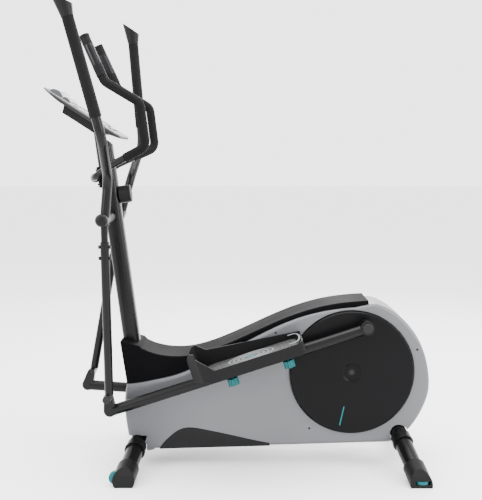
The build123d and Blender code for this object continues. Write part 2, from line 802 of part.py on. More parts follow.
clamp_mid = on_mast(CLAMP_Z)
with BuildPart() as handlebar_clamp:
    with BuildSketch(Plane(origin=clamp_mid - MAST_OUT * (MAST_D / 2 + 6) - MAST_WAY * 37, x_dir=MAST_OUT, z_dir=MAST_WAY)):
        with Locations((3, 0)):
            Rectangle(6, 46)
    extrude(amount=74)
    with BuildSketch(at_y(23)):
        with Locations((BAR_X, BAR_Z)):
            Circle(BAR_R + 4)
    extrude(amount=46)
    with BuildSketch(at_y(40)):
        with Locations((BAR_X, BAR_Z)):
            Circle(BAR_R)
    extrude(amount=80, mode=Mode.SUBTRACT)
    with BuildSketch(Plane(origin=clamp_mid - MAST_OUT * (MAST_D / 2) - MAST_WAY * 60, x_dir=MAST_OUT, z_dir=MAST_WAY)):
        with Locations((10, 0)):
            Rectangle(20, 60)
    extrude(amount=120, mode=Mode.SUBTRACT)
    for dz in (-27, 27):
        c = on_mast(CLAMP_Z) + MAST_WAY * dz
        with BuildSketch(Plane(origin=c - MAST_OUT * 60, x_dir=(0, 1, 0), z_dir=MAST_OUT)):
            Circle(4)
        extrude(amount=50, mode=Mode.SUBTRACT)
save(handlebar_clamp, "handlebar_clamp")

with BuildPart() as frame_bolts:
    for dz in (-27, 27):
        c = on_mast(CLAMP_Z) + MAST_WAY * dz
        with BuildSketch(Plane(origin=c - MAST_OUT * (MAST_D / 2 + 13.2), x_dir=(0, 1, 0), z_dir=MAST_OUT)):
            RegularPolygon(7, 6)
        extrude(amount=7)
        with BuildSketch(Plane(origin=c - MAST_OUT * (MAST_D / 2 + 6.4), x_dir=(0, 1, 0), z_dir=MAST_OUT)):
            Circle(4)
        extrude(amount=12)
    for z in (236, 276):
        with BuildSketch(Plane(origin=on_mast(z, MAST_D / 2), x_dir=(0, 1, 0), z_dir=MAST_OUT)):
            RegularPolygon(7, 6)
        extrude(amount=6)
        with BuildSketch(Plane(origin=on_mast(z, MAST_D / 2 + 0.2), x_dir=(0, 1, 0), z_dir=MAST_OUT)):
            Circle(4)
        extrude(amount=-3)
save(frame_bolts, "frame_bolts")

KNOB_Z = 952.0
with BuildPart() as mast_knob:
    with BuildSketch(Plane(origin=on_mast(KNOB_Z, MAST_D / 2 + 1.0), x_dir=(0, 1, 0), z_dir=MAST_OUT)):
        Circle(31)
    extrude(amount=32)
    with BuildSketch(Plane(origin=on_mast(KNOB_Z, MAST_D / 2 + 33), x_dir=(0, 1, 0), z_dir=MAST_OUT)):
        Circle(30)
    extrude(amount=8)
    fillet(mast_knob.edges().filter_by(GeomType.CIRCLE).sort_by(Axis.X)[-1], radius=3)
save(mast_knob, "mast_knob")

# ---------------------------------------------------------------- fixed handlebar
BAR = [
    (BAR_X, 0, BAR_Z), (BAR_X, -56, BAR_Z), (-440, -74, 1061), (-313, -152, 1121),
    (-331, -156, 1267), (-447, -156, 1336), (-513, -139, 1482),
]
BAR_BEND = 34.0
fixed_half = along(BAR, BAR_BEND, BAR_R, BAR_R - 2)
with BuildPart() as fixed_handlebar:
    add(fixed_half.part)
    mirror(about=Plane.XZ)
save(fixed_handlebar, "fixed_handlebar")

q = Vector(*BAR[2]) + (Vector(*BAR[3]) - Vector(*BAR[2])) * 0.42
g0, g1 = Vector(*BAR[5]), Vector(*BAR[6])
grip_way = (g1 - g0).normalized()
foam_end = g0 + grip_way * 20
foam_half = along([(q.X, q.Y, q.Z)] + BAR[3:6] + [(foam_end.X, foam_end.Y, foam_end.Z)], BAR_BEND, FOAM_R, BAR_R)
with BuildPart() as handlebar_foam:
    add(foam_half.part)
    mirror(about=Plane.XZ)
save(handlebar_foam, "handlebar_foam")

with BuildPart() as pulse_grips:
    with BuildSketch(Plane(origin=g0 + grip_way * 20.2, z_dir=grip_way)):
        Circle(GRIP_R)
        Circle(BAR_R, mode=Mode.SUBTRACT)
    extrude(amount=(g1 - g0).length - 20.2)
    with BuildSketch(Plane(origin=g1, z_dir=grip_way)):
        Circle(GRIP_R + 1)
    extrude(amount=8)
    fillet(pulse_grips.edges().filter_by(GeomType.CIRCLE).sort_by(Axis.Z)[-1], radius=5)
    mirror(about=Plane.XZ)
save(pulse_grips, "pulse_grips")

# ---------------------------------------------------------------- left swing arm
A0 = Vector(-449, -ARM_Y, 862)
A1 = Vector(-446, -171, 283)
ARM_WAY = (A1 - A0).normalized()
HANDLE = [(A0.X, A0.Y, A0.Z), (-434, -ARM_Y, 1018), (-431, -HANDLE_Y, 1150), (-529, -HANDLE_Y, 1517)]
h0, h1 = Vector(*HANDLE[2]), Vector(*HANDLE[3])
GRIP_WAY = (h1 - h0).normalized()
TUBE_R, SLEEVE_R = 16.0, 22.0
handle_tube = along(HANDLE, 80, TUBE_R, TUBE_R - 2.5)


def arm_bolt_plane(z, out):
    c = A0 + ARM_WAY * ((A0.Z - z) / -ARM_WAY.Z)
    return Plane(origin=c + Vector(-out, 0, 0), x_dir=(0, 1, 0), z_dir=(1, 0, 0))


with BuildPart() as left_handle:
    add(handle_tube.part)
    with BuildSketch(at_y(-172.4)):
        with Locations((PIVOT_X, PIVOT_Z)):
            Circle(SLEEVE_R)
    extrude(amount=52.6)
    with BuildSketch(Plane(origin=A0, x_dir=(1, 0, 0), z_dir=ARM_WAY)):
        Circle(12)
    extrude(amount=170)
    with BuildSketch(at_y(-100)):
        with Locations((PIVOT_X, PIVOT_Z)):
            Circle(AXLE_R + RUN)
    extrude(amount=200, mode=Mode.SUBTRACT)
    for z in (790, 752):
        with BuildSketch(arm_bolt_plane(z, 40)):
            Circle(4)
        extrude(amount=80, mode=Mode.SUBTRACT)
save(left_handle, "left_handle")

foam_start = h0 + GRIP_WAY * 62
with BuildPart() as left_handle_foam:
    with BuildSketch(Plane(origin=foam_start, z_dir=GRIP_WAY)):
        Circle(TUBE_R + 3)
        Circle(TUBE_R, mode=Mode.SUBTRACT)
    extrude(amount=(h1 - foam_start).length)
    fillet(left_handle_foam.edges().filter_by(GeomType.CIRCLE).sort_by(Axis.Z)[0:2].sort_by(SortBy.LENGTH)[-1], radius=2)
save(left_handle_foam, "left_handle_foam")

with BuildPart() as left_handle_cap:
    with BuildSketch(Plane(origin=h1 + GRIP_WAY * 0.1, z_dir=GRIP_WAY)):
        Circle(19.5)
    extrude(amount=84, taper=-10)
    with BuildSketch(Plane(origin=h1, x_dir=(GRIP_WAY.Z, 0, -GRIP_WAY.X), z_dir=(0, -1, 0))):
        with BuildLine():
            Polyline((-60, 100.5), (60, 8.4), (60, 130), (-60, 130), close=True)
        make_face()
    extrude(amount=60, both=True, mode=Mode.SUBTRACT)
save(left_handle_cap, "left_handle_cap")

with BuildPart() as left_lower_arm:
    with BuildSketch(Plane(origin=A0 + ARM_WAY * 56, x_dir=(1, 0, 0), z_dir=ARM_WAY)):
        Circle(15)
    extrude(amount=(A1 - A0).length - 56)
    with BuildSketch(at_y(-168)):
        with Locations((JOINT_X, JOINT_Z)):
            Circle(14.5)
    extrude(amount=28)
    with BuildSketch(Plane(origin=A0 + ARM_WAY * 56, x_dir=(1, 0, 0), z_dir=ARM_WAY)):
        Circle(12.15)
    extrude(amount=(A1 - A0).length - 56 - 22, mode=Mode.SUBTRACT)
    with BuildSketch(at_y(-130)):
        with Locations((JOINT_X, JOINT_Z)):
            Circle(6)
    extrude(amount=100, mode=Mode.SUBTRACT)
    with BuildSketch(at_y(-120)):
        with Locations((JOINT_X, JOINT_Z)):
            Circle(19)
    extrude(amount=47.8, mode=Mode.SUBTRACT)
    for z in (790, 752):
        with BuildSketch(arm_bolt_plane(z, 40)):
            Circle(4)
        extrude(amount=80, mode=Mode.SUBTRACT)
save(left_lower_arm, "left_lower_arm")

with BuildPart() as left_arm_fasteners:
    for z in (790, 752):
        with BuildSketch(arm_bolt_plane(z, 21.5)):
            RegularPolygon(7, 6)
        extrude(amount=6.5)
        with BuildSketch(arm_bolt_plane(z, 15.2)):
            Circle(3.95)
        extrude(amount=30.4)
        with BuildSketch(arm_bolt_plane(z, -15.1)):
            RegularPolygon(7, 6)
        extrude(amount=5)
    with BuildSketch(at_y(-225)):
        with Locations((PIVOT_X, PIVOT_Z)):
            Circle(SLEEVE_R - 0.5)
    extrude(amount=9)
    fillet(left_arm_fasteners.faces().sort_by(Axis.Y)[0].edges(), radius=6)
    with BuildSketch(at_y(-142)):
        with Locations((JOINT_X, JOINT_Z)):
            Circle(6)
    extrude(amount=55)
    with BuildSketch(at_y(-196)):
        with Locations((JOINT_X, JOINT_Z)):
            Circle(14)
    extrude(amount=6.5)
save(left_arm_fasteners, "left_arm_fasteners")

# ---------------------------------------------------------------- left pedal arm
TS, TC = math.sin(math.radians(SLOPE)), math.cos(math.radians(SLOPE))
TUBE_A = Vector(-440, -PEDAL_TUBE_Y, 219.4)
TUBE_WAY = Vector(TC, 0, TS)
TUBE_UP = Vector(-TS, 0, TC)
PEDAL_MID = Vector(1.0, -195.0, 407.0)


def pedal_plane(up, x=0.0, y=0.0):
    return Plane(origin=PEDAL_MID + TUBE_UP * up + TUBE_WAY * x + Vector(0, y, 0), x_dir=TUBE_WAY, z_dir=TUBE_UP)


KNOB_XS = (-48.0, 153.0)
KNOB_Y = -PEDAL_TUBE_Y - PEDAL_MID.Y
STUD_R = 5.0
with BuildPart() as left_pedal_arm:
    with BuildSketch(Plane(origin=TUBE_A, x_dir=(0, 1, 0), z_dir=TUBE_WAY)):
        Circle(PEDAL_TUBE_R)
        Circle(PEDAL_TUBE_R - 2.5, mode=Mode.SUBTRACT)
    extrude(amount=(PIN_X - TUBE_A.X) / TC)
    with BuildSketch(at_y(-138)):
        with Locations((JOINT_X, JOINT_Z)):
            Circle(14.5)
        with Locations((-446, 221)):
            Circle(21)
        with BuildLine():
            Polyline(
                (JOINT_X - 14.5, JOINT_Z), (JOINT_X + 14.5, JOINT_Z), (-425.2, 221), (-467, 221), close=True
            )
        make_face()
    extrude(amount=28)
    with BuildSketch(at_y(-(PEDAL_TUBE_Y - PEDAL_TUBE_R))):
        with Locations((PIN_X, PIN_Z)):
            Circle(24)
    extrude(amount=42)
    # pads that carry the pedal, welded on the tube
    for x in KNOB_XS:
        with BuildSketch(pedal_plane(-32, x, KNOB_Y)):
            RectangleRounded(44, 46, 5)
        extrude(amount=23.8)
    for x in KNOB_XS:
        with BuildSketch(pedal_plane(-70, x, KNOB_Y)):
            Circle(STUD_R + RUN)
        extrude(amount=80, mode=Mode.SUBTRACT)
    with BuildSketch(at_y(-110)):
        with Locations((PIN_X, PIN_Z)):
            Circle(9)
        with Locations((JOINT_X, JOINT_Z)):
            Circle(6 + RUN)
    extrude(amount=100, mode=Mode.SUBTRACT)
save(left_pedal_arm, "left_pedal_arm")

with BuildPart() as left_crank_pin:
    with BuildSketch(at_y(-110)):
        with Locations((PIN_X, PIN_Z)):
            Circle(9)
    extrude(amount=66)
    with BuildSketch(at_y(-175.1)):
        with Locations((PIN_X, PIN_Z)):
            Circle(17)
    extrude(amount=7)
    fillet(left_crank_pin.faces().sort_by(Axis.Y)[0].edges(), radius=3)
save(left_crank_pin, "left_crank_pin")

PED_HALF = 80.0


def pedal_outline(grow=0.0):
    with BuildSketch(Plane.XY) as face:
        with BuildLine():
            Polyline(
                (-168, -34), (-132, -80), (222, -80), (222, 80), (-150, 80), (-168, 56), close=True
            )
        make_face()
        fillet(face.vertices(), radius=12)
        if grow:
            offset(amount=grow)
    return face.sketch


with BuildPart() as left_pedal:
    with BuildSketch(pedal_plane(-20)):
        add(pedal_outline())
    extrude(amount=102)
    # height of the walls, seen from the side: toe wall, tall inner guard, low outer lip
    with BuildSketch(Plane(origin=PEDAL_MID, x_dir=TUBE_WAY, z_dir=(0, -1, 0))):
        with BuildLine():
            Polyline(
                (-190, 60), (-168, 60), (-150, 80), (-136, 80), (-106, 54), (206, 18), (240, 16), (240, 120), (-190, 120),
                close=True
            )
        make_face()
    extrude(amount=120, both=True, mode=Mode.SUBTRACT)
    with BuildSketch(Plane(origin=PEDAL_MID + Vector(0, 66, 0), x_dir=TUBE_WAY, z_dir=(0, -1, 0))):
        with BuildLine():
            Polyline((-142, 120), (-134, 62), (-84, 9), (205, 9), (212, 15), (240, 15), (240, 120), close=True)
        make_face()
    extrude(amount=180, mode=Mode.SUBTRACT)
    with BuildSketch(pedal_plane(0)):
        add(pedal_outline(-5))
    extrude(amount=110, mode=Mode.SUBTRACT)
    with BuildSketch(pedal_plane(-20)):
        add(pedal_outline(-5))
    extrude(amount=12, mode=Mode.SUBTRACT)
    with BuildSketch(Plane(origin=PEDAL_MID + Vector(0, -75, 0), x_dir=TUBE_WAY, z_dir=(0, -1, 0))):
        with BuildLine():
            Polyline((-120, -18), (-108, -30), (206, -30), (216, -18), close=True)
        make_face()
    extrude(amount=5)
save(left_pedal, "left_pedal")


def knob(x):
    with BuildPart() as made:
        with BuildSketch(pedal_plane(-86, x, KNOB_Y)):
            Circle(20)
            with PolarLocations(24, 6):
                Circle(8, mode=Mode.SUBTRACT)
        extrude(amount=24)
        with BuildSketch(pedal_plane(-63, x, KNOB_Y)):
            Circle(STUD_R)
        extrude(amount=54)
    return made


left_front_knob = knob(KNOB_XS[0])
save(left_front_knob, "left_front_knob")
left_rear_knob = knob(KNOB_XS[1])
save(left_rear_knob, "left_rear_knob")

# ---------------------------------------------------------------- right side: mirrored, then posed
AXIS_O = Axis((PIVOT_X, 0, PIVOT_Z), (0, 1, 0))
AXIS_J = Axis((JOINT_X, 0, JOINT_Z), (0, 1, 0))
TO_RIGHT = Location((JOINT_RX - JOINT_X, 0, JOINT_RZ - JOINT_Z))

for builder, name in (
    (left_handle, "right_handle"), (left_handle_foam, "right_handle_foam"), (left_handle_cap, "right_handle_cap"),
    (left_lower_arm, "right_lower_arm"), (left_arm_fasteners, "right_arm_fasteners"),
):
    with BuildPart() as right_piece:
        add(mirrored(builder).rotate(AXIS_O, ARM_SPLIT))
    save(right_piece, name)

for builder, name in (
    (left_pedal_arm, "right_pedal_arm"), (left_crank_pin, "right_crank_pin"), (left_pedal, "right_pedal"),
    (left_front_knob, "right_front_knob"), (left_rear_knob, "right_rear_knob"),
):
    with BuildPart() as right_piece:
        add(mirrored(builder).rotate(AXIS_J, PEDAL_SPLIT).moved(TO_RIGHT))
    save(right_piece, name)
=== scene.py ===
import math

import bpy
from mathutils import Matrix, Vector


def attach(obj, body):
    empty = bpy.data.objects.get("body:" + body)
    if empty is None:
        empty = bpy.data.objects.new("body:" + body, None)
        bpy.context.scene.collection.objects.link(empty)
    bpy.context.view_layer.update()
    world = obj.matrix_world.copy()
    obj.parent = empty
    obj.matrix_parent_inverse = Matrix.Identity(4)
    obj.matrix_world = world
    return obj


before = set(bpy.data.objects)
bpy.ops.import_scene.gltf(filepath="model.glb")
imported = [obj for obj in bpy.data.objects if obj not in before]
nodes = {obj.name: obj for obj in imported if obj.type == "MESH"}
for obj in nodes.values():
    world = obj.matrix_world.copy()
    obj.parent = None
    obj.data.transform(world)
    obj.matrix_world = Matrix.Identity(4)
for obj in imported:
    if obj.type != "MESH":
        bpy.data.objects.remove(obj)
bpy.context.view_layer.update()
scene = bpy.context.scene

# ------------------------------------------------------------------ materials


class Look:
    """A procedural material: mottled colour, uneven roughness and a fine surface grain."""

    def __init__(self, name, colour, second=None, scale=9.0, rough=(0.35, 0.5), metallic=0.0, grain="noise",
                 grain_scale=1100.0, depth=0.00008, strength=0.35, bevel=0.0009, coat=0.0, stretch=(1, 1, 1),
                 specular=0.5, smudge=5.0, sheen=0.0):
        self.m = bpy.data.materials.new(name)
        self.m.use_nodes = True
        self.t = self.m.node_tree
        self.t.nodes.clear()
        self.out = self.t.nodes.new("ShaderNodeOutputMaterial")
        self.b = self.t.nodes.new("ShaderNodeBsdfPrincipled")
        self.link(self.b.outputs[0], self.out.inputs[0])
        self.b.inputs["Metallic"].default_value = metallic
        self.b.inputs["Coat Weight"].default_value = coat
        self.b.inputs["Coat Roughness"].default_value = 0.12
        self.b.inputs["Specular IOR Level"].default_value = specular
        self.b.inputs["Sheen Weight"].default_value = sheen
        self.place = self.node("ShaderNodeTexCoord").outputs["Object"]
        mapped = self.node("ShaderNodeMapping")
        mapped.inputs["Scale"].default_value = stretch
        self.link(self.place, mapped.inputs["Vector"])
        self.mapped = mapped.outputs["Vector"]

        cloud = self.noise(scale, 4.0, self.place)
        second = second or tuple(c * 0.86 for c in colour)
        self.colour = self.mix(cloud, colour, second)
        self.set_colour(self.colour)

        wear = self.noise(smudge, 6.0, self.place)
        spread = self.node("ShaderNodeMapRange")
        spread.inputs["From Min"].default_value = 0.3
        spread.inputs["From Max"].default_value = 0.7
        spread.inputs["To Min"].default_value = rough[0]
        spread.inputs["To Max"].default_value = rough[1]
        self.link(wear, spread.inputs["Value"])
        self.link(spread.outputs["Result"], self.b.inputs["Roughness"])

        if grain == "cells":
            cell = self.node("ShaderNodeTexVoronoi")
            cell.inputs["Scale"].default_value = grain_scale
            self.link(self.mapped, cell.inputs["Vector"])
            height = cell.outputs["Distance"]
        else:
            height = self.noise(grain_scale, 3.0, self.mapped)
        bump = self.node("ShaderNodeBump")
        bump.inputs["Strength"].default_value = strength
        bump.inputs["Distance"].default_value = depth
        self.link(height, bump.inputs["Height"])
        if bevel:
            soft = self.node("ShaderNodeBevel")
            soft.samples = 4
            soft.inputs["Radius"].default_value = bevel
            self.link(soft.outputs["Normal"], bump.inputs["Normal"])
        self.bump = bump
        self.link(bump.outputs["Normal"], self.b.inputs["Normal"])

    def node(self, kind):
        return self.t.nodes.new(kind)

    def link(self, a, b):
        self.t.links.new(a, b)

    def noise(self, scale, detail, vector):
        n = self.node("ShaderNodeTexNoise")
        n.inputs["Scale"].default_value = scale
        n.inputs["Detail"].default_value = detail
        self.link(vector, n.inputs["Vector"])
        return n.outputs["Fac"]

    def mix(self, factor, a, b):
        m = self.node("ShaderNodeMix")
        m.data_type = "RGBA"
        self.link(factor, m.inputs[0])
        for socket, value in ((m.inputs[6], a), (m.inputs[7], b)):
            if isinstance(value, tuple):
                socket.default_value = (*value, 1)
            else:
                self.link(value, socket)
        return m.outputs[2]

    def set_colour(self, output):
        self.colour = output
        self.link(output, self.b.inputs["Base Color"])

    def along(self, direction, low, high):
        """0 to 1 as the surface goes from low to high along a direction, in metres."""
        dot = self.node("ShaderNodeVectorMath")
        dot.operation = "DOT_PRODUCT"
        dot.inputs[1].default_value = direction
        self.link(self.place, dot.inputs[0])
        span = self.node("ShaderNodeMapRange")
        span.interpolation_type = "SMOOTHSTEP"
        span.inputs["From Min"].default_value = low
        span.inputs["From Max"].default_value = high
        self.link(dot.outputs["Value"], span.inputs["Value"])
        return span.outputs["Result"]

    def band(self, direction, low, high, colour):
        """Paint a colour where the surface lies past high along the direction."""
        self.set_colour(self.mix(self.along(direction, low, high), self.colour, colour))
        return self


MAST_TILT = math.radians(7.33)
MAST_OUT = Vector((math.cos(MAST_TILT), 0, math.sin(MAST_TILT)))
CON = math.radians(32.7)
CON_N = Vector((math.sin(CON), 0, math.cos(CON)))
CON_D = Vector((math.cos(CON), 0, -math.sin(CON)))
CON_MID = Vector((-0.5315, 0, 1.2398))

silver = Look("shell_silver", (0.088, 0.089, 0.095), (0.077, 0.078, 0.084), scale=3.0, rough=(0.30, 0.40),
              metallic=0.25, grain_scale=1500, depth=0.00004, strength=0.25, bevel=0.0015, coat=0.05, specular=0.35)
# painted shade: the casing colour darkens smoothly towards the front (from x = -0.10 m to x = -0.42 m)
silver.set_colour(silver.mix(silver.along((1, 0, 0), -0.42, -0.10), (0.058, 0.059, 0.064), silver.colour))
charcoal = Look("shell_charcoal", (0.0020, 0.0020, 0.0023), (0.0014, 0.0014, 0.0017), rough=(0.50, 0.62),
                grain="cells", grain_scale=1400, depth=0.0001, strength=0.35, bevel=0.0012, specular=0.02)
insert = Look("insert_charcoal", (0.0042, 0.0042, 0.0047), (0.003, 0.003, 0.0034), rough=(0.40, 0.55),
              grain="cells", grain_scale=1400, depth=0.0001, strength=0.35, specular=0.12)
paint = Look("tube_black_paint", (0.0018, 0.0018, 0.0020), (0.0028, 0.0028, 0.0030), rough=(0.20, 0.28),
             grain_scale=520, depth=0.00004, strength=0.2, specular=0.14)
mast_paint = Look("mast_black_paint", (0.0018, 0.0018, 0.0020), (0.0028, 0.0028, 0.0030), rough=(0.22, 0.30),
                  grain_scale=520, depth=0.00004, strength=0.2, specular=0.14)
trim = Look("trim_black_plastic", (0.0022, 0.0022, 0.0024), (0.0035, 0.0035, 0.0038), rough=(0.40, 0.55),
            grain="cells", grain_scale=1500, depth=0.0001, strength=0.4, specular=0.12)
cap_plastic = Look("cap_black_plastic", (0.0022, 0.0022, 0.0024), (0.0034, 0.0034, 0.0036), rough=(0.36, 0.50),
                   grain="cells", grain_scale=1300, depth=0.00012, strength=0.45, bevel=0.0015, specular=0.12)
pedal_plastic = Look("pedal_black_plastic", (0.0025, 0.0025, 0.0028), (0.004, 0.004, 0.0043), rough=(0.38, 0.52),
                     grain="cells", grain_scale=1200, depth=0.00014, strength=0.5, bevel=0.0016, specular=0.1)
disc_black = Look("disc_black_plastic", (0.0016, 0.0016, 0.0019), (0.0024, 0.0024, 0.0027), rough=(0.28, 0.38),
                  grain_scale=900, depth=0.00003, strength=0.2, bevel=0.002, specular=0.07)
plate = Look("plate_pale_plastic", (0.15, 0.153, 0.158), (0.125, 0.128, 0.132), rough=(0.32, 0.42), metallic=0.15,
             grain_scale=1300, depth=0.00004, strength=0.25)
housing = Look("console_plastic", (0.005, 0.005, 0.0053), (0.007, 0.007, 0.0073), rough=(0.32, 0.44),
               grain="cells", grain_scale=1500, depth=0.00008, strength=0.3, bevel=0.0014, specular=0.25)
low = CON_MID.dot(CON_N)
housing.band(tuple(CON_N), low - 0.0045, low - 0.0035, (0.075, 0.077, 0.081))
teal = Look("teal_plastic", (0.0, 0.085, 0.092), (0.0, 0.068, 0.076), rough=(0.34, 0.46), grain_scale=1300,
            depth=0.00004, strength=0.25, specular=0.2)
foam = Look("foam_black", (0.002, 0.002, 0.002), (0.0036, 0.0036, 0.0036), scale=60, rough=(0.6, 0.75),
            grain="cells", grain_scale=1500, depth=0.0005, strength=0.8, bevel=0.002, specular=0.08, sheen=0.0)
grip_rubber = Look("grip_rubber", (0.002, 0.002, 0.002), (0.0034, 0.0034, 0.0034), scale=40, rough=(0.55, 0.7),
                   grain="cells", grain_scale=900, depth=0.0003, strength=0.6, specular=0.1)
steel = Look("steel_turned", (0.56, 0.56, 0.57), (0.48, 0.48, 0.49), rough=(0.22, 0.36), metallic=1.0,
             grain_scale=500, depth=0.00003, strength=0.3, stretch=(1, 0.05, 1))
bolts = Look("bolt_zinc", (0.60, 0.61, 0.62), (0.50, 0.50, 0.52), scale=90, rough=(0.2, 0.34), metallic=1.0,
             grain_scale=900, depth=0.00003, strength=0.3, bevel=0.0004)
black_bolts = Look("bolt_black", (0.003, 0.003, 0.0033), (0.005, 0.005, 0.0053), scale=90, rough=(0.22, 0.32),
                   metallic=0.0, grain_scale=900, depth=0.00003, strength=0.3, bevel=0.0006, specular=0.2)
iron = Look("flywheel_iron", (0.20, 0.20, 0.21), (0.13, 0.13, 0.14), scale=25, rough=(0.35, 0.6), metallic=0.9,
            grain_scale=350, depth=0.0002, strength=0.5)
belt = Look("belt_rubber", (0.015, 0.015, 0.015), (0.025, 0.025, 0.025), scale=60, rough=(0.6, 0.8),
            grain_scale=700, depth=0.0002, strength=0.5)
glass = Look("screen_window", (0.004, 0.006, 0.0055), (0.007, 0.009, 0.0085), rough=(0.08, 0.14), grain_scale=60,
             depth=0.00001, strength=0.1, coat=0.1, specular=0.3, bevel=0.0006)
button_mat = Look("button_pale", (0.13, 0.133, 0.138), (0.11, 0.113, 0.118), scale=90, rough=(0.25, 0.35),
                  grain_scale=900, depth=0.00003, strength=0.2, coat=0.3)
sensor = Look("sensor_plate", (0.020, 0.020, 0.021), (0.014, 0.014, 0.015), rough=(0.24, 0.36), metallic=1.0,
              grain_scale=900, depth=0.00002, strength=0.3, stretch=(1, 1, 0.08), bevel=0.0004)
tread_rubber = Look("tread_rubber", (0.006, 0.006, 0.0063), (0.009, 0.009, 0.0094), scale=40, rough=(0.6, 0.75),
                    grain="cells", grain_scale=1000, depth=0.0002, strength=0.6, bevel=0.0006)
tread_grey = Look("tread_grey", (0.10, 0.104, 0.108), (0.08, 0.083, 0.087), scale=60, rough=(0.5, 0.62),
                  grain="cells", grain_scale=1000, depth=0.00015, strength=0.5, bevel=0.0006)

BY_NODE = {
    "main_frame": paint, "front_stabiliser": paint, "rear_stabiliser": paint, "stabiliser_saddles": paint,
    "frame_bolts": bolts, "front_end_caps": cap_plastic, "rear_end_caps": cap_plastic, "mast": mast_paint,
    "casing_left": silver, "casing_right": silver, "top_cover": charcoal, "lower_inserts": insert,
    "casing_screws": black_bolts, "console_housing": housing, "console_back": trim, "console_screen": glass,
    "fixed_handlebar": paint, "handlebar_foam": foam, "pulse_grips": grip_rubber, "handlebar_clamp": paint,
    "pivot_axle": steel, "pivot_bushes": trim, "crank_bearings": steel, "brake_unit": trim,
    "flywheel_axle": steel, "drive_belt": belt, "power_inlet": trim, "crank_axle": black_bolts, "crank_arms": paint,
    "crank_discs": disc_black, "drive_pulley": trim, "flywheel": iron, "mast_knob": trim,
    "start_button": button_mat, "plus_button": button_mat, "minus_button": button_mat,
}
for side in ("left", "right"):
    BY_NODE.update({
        side + "_handle": paint, side + "_handle_foam": foam, side + "_handle_cap": cap_plastic,
        side + "_lower_arm": paint, side + "_arm_fasteners": black_bolts, side + "_pedal_arm": paint,
        side + "_pedal": pedal_plastic, side + "_crank_pin": black_bolts, side + "_front_knob": teal,
        side + "_rear_knob": teal, side + "_transport_wheel": teal, side + "_leveller": teal,
    })
for name, look in BY_NODE.items():
    mesh = nodes[name].data
    mesh.materials.clear()
    mesh.materials.append(look.m)
    for polygon in mesh.polygons:
        polygon.material_index = 0

# ------------------------------------------------------------------ mesh helpers


def piece(name, verts, faces, look, body, soften=0.0, shift=None):
    """A finished mesh that rides on a body. shift carries each point into the row frame."""
    if shift:
        verts = [shift(v) for v in verts]
    mesh = bpy.data.meshes.new(name)
    mesh.from_pydata([tuple(v) for v in verts], [], faces)
    mesh.validate()
    o = bpy.data.objects.new(name, mesh)
    scene.collection.objects.link(o)
    bpy.context.view_layer.objects.active = o
    o.select_set(True)
    bpy.ops.object.mode_set(mode="EDIT")
    bpy.ops.mesh.select_all(action="SELECT")
    bpy.ops.mesh.normals_make_consistent(inside=False)
    bpy.ops.object.mode_set(mode="OBJECT")
    o.select_set(False)
    mesh.materials.append(look.m)
    for polygon in mesh.polygons:
        polygon.use_smooth = True
    mesh.set_sharp_from_angle(angle=math.radians(40))
    if soften:
        bevel = o.modifiers.new("soften", "BEVEL")
        bevel.width = soften
        bevel.segments = 2
        bevel.limit_method = "ANGLE"
        bevel.angle_limit = math.radians(40)
    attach(o, body)
    return o


def ring(a, b, half_width, height, z0, cx=0.0, cy=0.0, count=72, power=2.0):
    """A raised rib round an oval, with a domed top. Sizes in metres."""
    verts, faces = [], []
    section = [(-1, 0), (-0.92, 0.62), (-0.55, 0.94), (0, 1.05), (0.55, 0.94), (0.92, 0.62), (1, 0), (0, -0.15)]
    for i in range(count):
        t = 2 * math.pi * i / count
        c, s = math.cos(t), math.sin(t)
        for u, h in section:
            verts.append(Vector((
                cx + (a + u * half_width) * math.copysign(abs(c) ** (2 / power), c),
                cy + (b + u * half_width) * math.copysign(abs(s) ** (2 / power), s),
                z0 + h * height,
            )))
    n = len(section)
    for i in range(count):
        for k in range(n):
            faces.append((i * n + k, i * n + (k + 1) % n, ((i + 1) % count) * n + (k + 1) % n, ((i + 1) % count) * n + k))
    return verts, faces


def slab(outline, z0, z1, dome=0.0):
    """A flat plate from a closed outline of (x, y) points, with an optional raised middle."""
    n = len(outline)
    cx, cy = sum(p[0] for p in outline) / n, sum(p[1] for p in outline) / n
    verts, faces = [], []
    levels = [(1.0, z0), (1.0, z1 - 0.0005), (0.985, z1), (0.6, z1 + dome * 0.7), (0.25, z1 + dome)]
    for k, z in levels:
        for x, y in outline:
            verts.append(Vector((cx + (x - cx) * k, cy + (y - cy) * k, z)))
    for j in range(len(levels) - 1):
        for i in range(n):
            faces.append((j * n + i, j * n + (i + 1) % n, (j + 1) * n + (i + 1) % n, (j + 1) * n + i))
    faces.append(tuple(range(n)))
    faces.append(tuple((len(levels) - 1) * n + i for i in range(n)))
    return verts, faces


def rounded(x0, x1, y0, y1, r, steps=6):
    pts = []
    for cx, cy, start in ((x1 - r, y1 - r, 0), (x0 + r, y1 - r, 90), (x0 + r, y0 + r, 180), (x1 - r, y0 + r, 270)):
        for i in range(steps + 1):
            t = math.radians(start + 90 * i / steps)
            pts.append((cx + r * math.cos(t), cy + r * math.sin(t)))
    return pts


